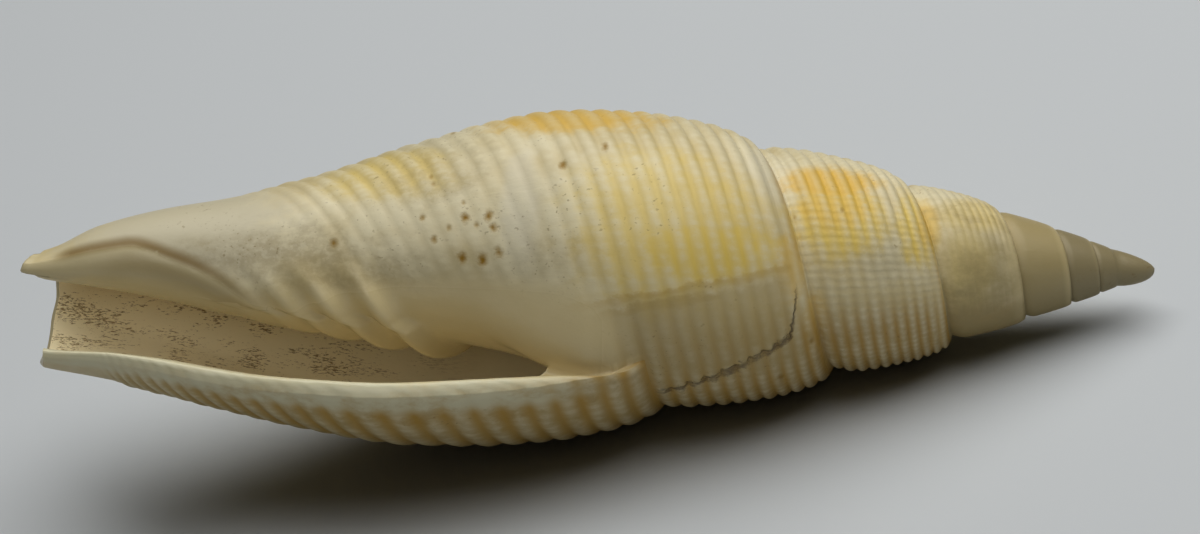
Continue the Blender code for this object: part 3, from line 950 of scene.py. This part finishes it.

# %% [markdown]
# ## Growth marks and an old break
# The animal rested twice and left brown lines. Further back its lip once broke, and a crevice shows where
# the mended part starts, with painted shade along it. Both follow the old lip, so each mark is a stage that
# changes evenly with the line. The break is one of two such marks, whichever is further forward.

# %% Marks on the map
# A mark has its stage at line 0 and its slope. A rest mark also has its first and last line.
REST_MARKS = [(-0.88926, -0.0017, 1, 30), (-0.90631, -0.00145, 11, 27)]
REST_WIDTH = (0.38, 0.05)
REST_WAVINESS = 1.4
BREAK = [(-0.881, -0.0255), (-0.965, -0.0045)]
BREAK_LINES = [(line_at, 1.2, 2.6), (line_at, 23.0, 20.0)]
BREAK_WIDTH = (0.4, 0.0)
BREAK_WAVINESS = 1.4
OVERHANG = (-0.3, 0.5)
BEHIND_REST = (0.2, -0.8)
BEHIND_WAVINESS = 2.0
REST_FADING_IN = 2
REST_FADING_OUT = 4
GIRTH = 56.0
NOISE_MIDDLE = 0.5
MARK_BROWN, CREVICE_SHADE_BROWN, TAN = [srgb(code) for code in ("AF8C38", "5A4322", "B5A272")]


def past(marks, wander, waviness):
    """How far a point lies in front of the foremost of two marks, in millimetres, with some waviness."""
    stages = [add("Math", [line_at, slope, start], operation="MULTIPLY_ADD") for start, slope in marks]
    foremost = add("Math", [stages[0], stages[-1]], operation="MAXIMUM")
    turns = add("Math", [stage_at, foremost], operation="SUBTRACT")
    wave = add("Math", [add("Math", [wander, NOISE_MIDDLE], operation="SUBTRACT"), waviness])
    return add("Math", [turns, GIRTH, wave], operation="MULTIPLY_ADD")

# %% Rest lines and the mended break
for *mark, first, last in REST_MARKS:
    off = add("Math", [past([mark], mottle, REST_WAVINESS)], operation="ABSOLUTE")
    whole_from, whole_to = first + REST_FADING_IN, last - REST_FADING_OUT
    near = [(off, *REST_WIDTH), (line_at, first, whole_from), (line_at, last, whole_to)]
    colour = laid(colour, [(MARK_BROWN, 0.36, near)])
rested = past([REST_MARKS[0][:2]], mottle, BEHIND_WAVINESS)
past_break = past(BREAK, grain, BREAK_WAVINESS)
crevice = limited(1.0, [(add("Math", [past_break], operation="ABSOLUTE"), *BREAK_WIDTH), *BREAK_LINES])
overhang = limited(1.0, [(past_break, *OVERHANG), *BREAK_LINES])
colour = laid(colour, [
    (TAN, 0.6, [(rested, *BEHIND_REST), (stage_at, -1.06, -1.0), (line_at, 1.5, 4), (line_at, 34, 24)]),
    # Painted shade: a dark brown along the narrow crevice of the mended break.
    (CREVICE_SHADE_BROWN, crevice, [(mottle, 0.35, 0.6, 0.25, 0.65)]),
])
print(len(REST_MARKS), "rest lines and a break along", len(BREAK), "slopes")

# %% [markdown]
# ## Spots and dirt
# Small brown spots sit in holes that a boring sponge left, and dirt clings to the neck and between the
# cords. A Voronoi pattern would spread the spots evenly, so they are small ellipsoids too, each in its place.

# %% Spots and dirt
# Each spot has its place and its size. Each patch of dirt is given like a patch of colour.
SPOTS = [
    (-50.9, -6.6, 3.5, 0.3), (-50.1, -7.0, 2.0, 0.34), (-49.1, -7.2, 2.8, 0.26), (-48.0, -7.3, 3.5, 0.4),
    (-47.2, -7.5, 3.0, 0.26), (-46.4, -7.6, 3.6, 0.42), (-46.1, -7.9, 2.8, 0.36), (-48.2, -7.5, 0.8, 0.5),
    (-46.8, -7.7, 0.6, 0.5), (-45.7, -8.1, 1.1, 0.42), (-57.0, -5.5, 1.8, 0.42), (-41.4, -7.4, 7.0, 0.38),
    (-38.5, -6.7, 8.3, 0.34), (-49.0, -0.3, 9.5, 0.3), (-50.4, -5.0, 6.3, 0.2), (-50.2, -5.4, 5.8, 0.22),
    (-48.1, -6.8, 4.5, 0.2), (-22.3, -6.7, 4.0, 0.24), (-25.6, -7.0, 3.5, 0.2), (-24.4, -6.4, -4.9, 0.26),
    (-26.4, -4.9, -7.4, 0.3), (-43.8, -2.5, -11.8, 0.4),
]
SPOT_SHAPE = (0.75, 2, 0.95)
SPOT_STRENGTH = 2.7
SPOT_EDGE = (1.5, -0.1)
SPOT_RAGGEDNESS = 1.6
DIRT = [
    ((-60.5, -4.8, 0.8), (7.5, 4, 2.2), 0.9), ((-54.5, -6.0, -0.8), (3.5, 4, 2.2), 0.8),
    ((-51, -4.5, 6.2), (3.5, 5, 2.0), 0.6), ((-41.5, -8.5, 1.0), (2.5, 4, 1.6), 0.4),
]
DIRT_EDGE = (1.4, 0.2)
DIRT_RAGGEDNESS = 2.2
DUST_STRENGTH = 0.45
SPOT_BROWN, SPECK, DUST = [srgb(code) for code in ("957208", "806A38", "9A875A")]

table = [
    (place, [share * size for share in SPOT_SHAPE], min(1, SPOT_STRENGTH * size)) for *place, size in SPOTS
]
spots = patches(table, grain, SPOT_RAGGEDNESS, *SPOT_EDGE)
dirt = patches(DIRT, mottle, DIRT_RAGGEDNESS, *DIRT_EDGE)
colour = laid(colour, [
    (SPOT_BROWN, spots, []),
    (DUST, add("Math", [dirt, DUST_STRENGTH]), [(grain, 0.35, 0.6, 0.35, 1.0)]),
    (SPECK, 0.5, [(dots, 0.63, 0.74), (cloud, 0.47, 0.62)]),
])
print(len(SPOTS), "spots of", min(spot[-1] for spot in SPOTS), "to", max(spot[-1] for spot in SPOTS), "mm")

# %% [markdown]
# ## Inner lip, rim and lining
# The glaze of the inner lip is smoother and plainer than the outside, with a brown crust along its edge
# and a band of painted shade just inside the crust. The lining is cream, dashed with brown near the front,
# and painted warm brown further in as shade. The mesh carries a mark for each of them, because a rule on
# places alone couldn't tell the lining from the wall behind it.

# %% Inner lip, rim and lining
CALLUS, CRUST_AND_SHADE_BROWN, RIM_WHITE, LINING_CREAM, DASH_BROWN, DEEP_SHADE_BROWN = [
    srgb(code) for code in ("D8C99F", "7F6426", "D2CDB0", "FFF2CC", "8C6C30", "C89034")
]
BARE_BETWEEN_DASHES = (0.35, 0.62, 0.68, 0.5)
DASH_EDGE = (-0.02, 0.08)
GLAZE_COVER = 0.8
FRONT_GREYNESS = 0.5

bare = add("MapRange", [drifts, *BARE_BETWEEN_DASHES])
dashes = add("Math", [hairs, bare], operation="SUBTRACT")
lined = laid(LINING_CREAM, [
    # Painted shade: the lining turns warm brown deeper in the hollow.
    (DEEP_SHADE_BROWN, 1.0, [(depth, 0.3, 0.58)]),
    (DASH_BROWN, 0.8, [(dashes, *DASH_EDGE), (axis_x, -46, -58)]),
])
colour = laid(colour, [
    (CALLUS, add("Math", [glaze, GLAZE_COVER]), []),
    (WARM_GREY, add("Math", [glaze, FRONT_GREYNESS]), [(axis_x, -58, -66)]),
    (CRUST_AND_SHADE_BROWN, 0.8, [
        (border, 1.0, 0.1), (border, -0.5, 0.1),
        (axis_x, -60, -68), (axis_x, -77.5, -75.5), (mottle, 0.2, 0.45),
    ]),
    # Painted shade: a weak band of the crust brown just inside the edge of the glaze.
    (CRUST_AND_SHADE_BROWN, 0.3, [(border, -0.3, -1.0), (border, -2.4, -1.2), (axis_x, -57, -64), (axis_x, -75, -71)]),
    (RIM_WHITE, 1.0, [(stage_at, -0.03, -0.01), (line_at, 2, 10), (mottle, 0.3, 0.6, 0.5, 0.9)]),
    (lined, lining, []),
])
tree.links.new(colour, shader.inputs["Base Color"])
print(len(tree.nodes), "nodes so far")

# %% [markdown]
# ## Relief too fine for the mesh
# The growth threads, the grain, the pits and the mended step are a tenth of a millimetre high at most. As
# geometry they would need millions of faces, so they are a bump. Each relief is a share of its distance.

# %% Bump and gloss
BUMP_DISTANCE = 0.12 * MM
STREAK_RELIEF = 0.08
STREAKED = (line_at, 40, 28)
THREAD_RELIEF = 0.12
RELIEFS = [(mottle, 0.35), (spots, -0.4), (crevice, -0.9), (overhang, 0.8)]
GLOSSING = (0.2, 0.9)
ROUGH_OUTSIDE = 0.46
ROUGH_GLAZE = 0.26
SPECULAR = 0.45

fine = limited(add("Math", [streaks, STREAK_RELIEF]), [STREAKED])
fine = add("Math", [threaded, THREAD_RELIEF, fine], operation="MULTIPLY_ADD")
fine = add("Math", [fine, outside])
for height, amount in RELIEFS:
    fine = add("Math", [height, amount, fine], operation="MULTIPLY_ADD")
bump = add("Bump", {"Strength": 1.0, "Distance": BUMP_DISTANCE, "Height": fine})
gloss = add("MapRange", [glaze, *GLOSSING, ROUGH_OUTSIDE, ROUGH_GLAZE])
tree.links.new(bump, shader.inputs["Normal"])
tree.links.new(gloss, shader.inputs["Roughness"])
shader.inputs["Specular IOR Level"].default_value = SPECULAR
print(len(tree.nodes), "nodes in the finished material")

# %% [markdown]
# ## Floor, light and camera
# The shell lies on a plain pale floor under one large soft light, with a weak even light all round. A hard
# light would draw every cord as a black line, and a soft one shows their roundness.

# %% Floor
FLOOR_HALF_WIDTH = 1.0
CARD_ROUGHNESS = 0.8

floor_mesh = bmesh.new()
bmesh.ops.create_grid(floor_mesh, x_segments=1, y_segments=1, size=FLOOR_HALF_WIDTH)
floor_data = bpy.data.meshes.new("floor")
floor_mesh.to_mesh(floor_data)
floor_mesh.free()
floor = bpy.data.objects.new("floor", floor_data)
bpy.context.scene.collection.objects.link(floor)

# Uncoated card, rolled and unprinted: matt, so that it shows the shadow and no reflection.
card = bpy.data.materials.new("pale_matt_card")
card.use_nodes = True
card_shader = card.node_tree.nodes["Principled BSDF"]
card_shader.inputs["Base Color"].default_value = srgb("D2D5D6")
card_shader.inputs["Roughness"].default_value = CARD_ROUGHNESS
floor_data.materials.append(card)
print("the floor is", 2 * FLOOR_HALF_WIDTH, "m across")

# %% Lights
# The large box over the shell lights it all. The small one, near the camera, reaches into the aperture. It
# is linked to the shell alone, so that the shadow on the floor stays dark. Each light has its name, its
# place, its width and height in metres and its power in watts.
SOFTBOXES = [("softbox", (0.08, 0.08, 0.4), 0.6, 0.45, 2.2), ("fill", (-0.1, -0.34, 0.36), 0.3, 0.3, 0.5)]
SURROUND_STRENGTH = 0.02
VIEW_GAMMA = 0.85

for name, place, width, height, watts in SOFTBOXES:
    light_data = bpy.data.lights.new(name, "AREA")
    light_data.shape = "RECTANGLE"
    light_data.size = width
    light_data.size_y = height
    light_data.energy = watts
    softbox = bpy.data.objects.new(name, light_data)
    softbox.location = place
    softbox.rotation_euler = (-softbox.location).to_track_quat("-Z", "Y").to_euler()
    bpy.context.scene.collection.objects.link(softbox)
lit_by_fill = bpy.data.collections.new("lit_by_fill")
lit_by_fill.objects.link(piece)
softbox.light_linking.receiver_collection = lit_by_fill
world = bpy.data.worlds.new("surround")
bpy.context.scene.world = world
world.use_nodes = True
surround = world.node_tree.nodes["Background"]
surround.inputs["Color"].default_value = srgb("C8CCD0")
surround.inputs["Strength"].default_value = SURROUND_STRENGTH
bpy.context.scene.view_settings.view_transform = "Standard"
bpy.context.scene.view_settings.gamma = VIEW_GAMMA
print(len(SOFTBOXES), "lights of", sum(light[-1] for light in SOFTBOXES), "watts together")

# %% Camera
# The camera's place is given across, above and along its view, in the shell's own upright position.
CAMERA_TURN = math.radians(1.3)
CAMERA_PLACE = (-38.67, 0.135, 184.4)
LENS = 78.0
SENSOR_WIDTH = 36.0
CLIP_START = 0.01

right = Vector((math.cos(CAMERA_TURN), -math.sin(CAMERA_TURN), 0))
ahead = Vector((math.sin(CAMERA_TURN), math.cos(CAMERA_TURN), 0))
above = Vector((0, 0, 1))
eye = right * CAMERA_PLACE[0] + above * CAMERA_PLACE[1] - ahead * CAMERA_PLACE[2]
facing = turn @ Matrix((right, above, -ahead)).transposed()
camera_data = bpy.data.cameras.new("camera")
camera_data.lens = LENS
camera_data.sensor_width = SENSOR_WIDTH
camera_data.clip_start = CLIP_START
camera = bpy.data.objects.new("camera", camera_data)
camera.matrix_world = Matrix.Translation((turn @ eye + move) * MM) @ facing.to_4x4()
bpy.context.scene.collection.objects.link(camera)
bpy.context.scene.camera = camera
print("the camera is", round(camera.matrix_world.translation.length, 3), "m away")
